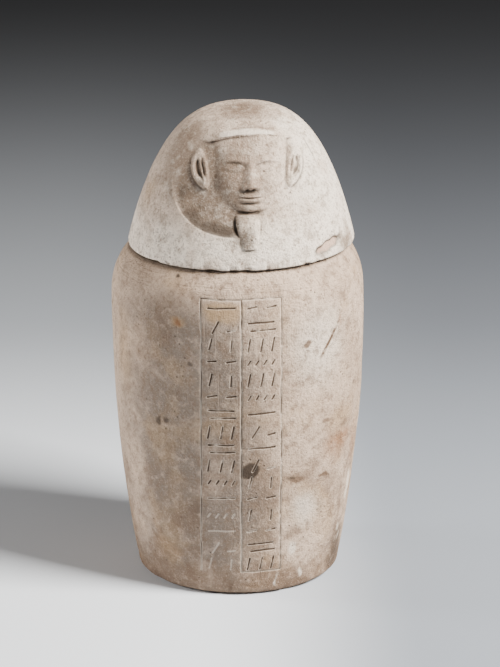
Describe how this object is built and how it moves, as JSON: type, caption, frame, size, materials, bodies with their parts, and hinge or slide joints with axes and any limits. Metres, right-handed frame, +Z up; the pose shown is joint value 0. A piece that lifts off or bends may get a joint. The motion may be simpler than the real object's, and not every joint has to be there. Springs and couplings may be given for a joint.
{
  "type": "canopic jar",
  "caption": "Tall carved limestone jar, hollow inside, closed by a domed lid carved as a human head with a wig and a short beard.",
  "frame": {"origin": "centre of the flat underside that the jar stands on", "axes": "+Z up along the jar's axis, the carved panel and the head face -Y, +X is to the right as seen from the front"},
  "size_m": [0.183, 0.1829, 0.3461],
  "materials": {
    "jar_stone": "worn pinkish-grey limestone with stains, matt",
    "lid_stone": "worn pale limestone with dirt in the hollows, matt"
  },
  "bodies": {
    "root": {"jar": "jar_stone", "lid": "lid_stone"}
  },
  "joints": []
}
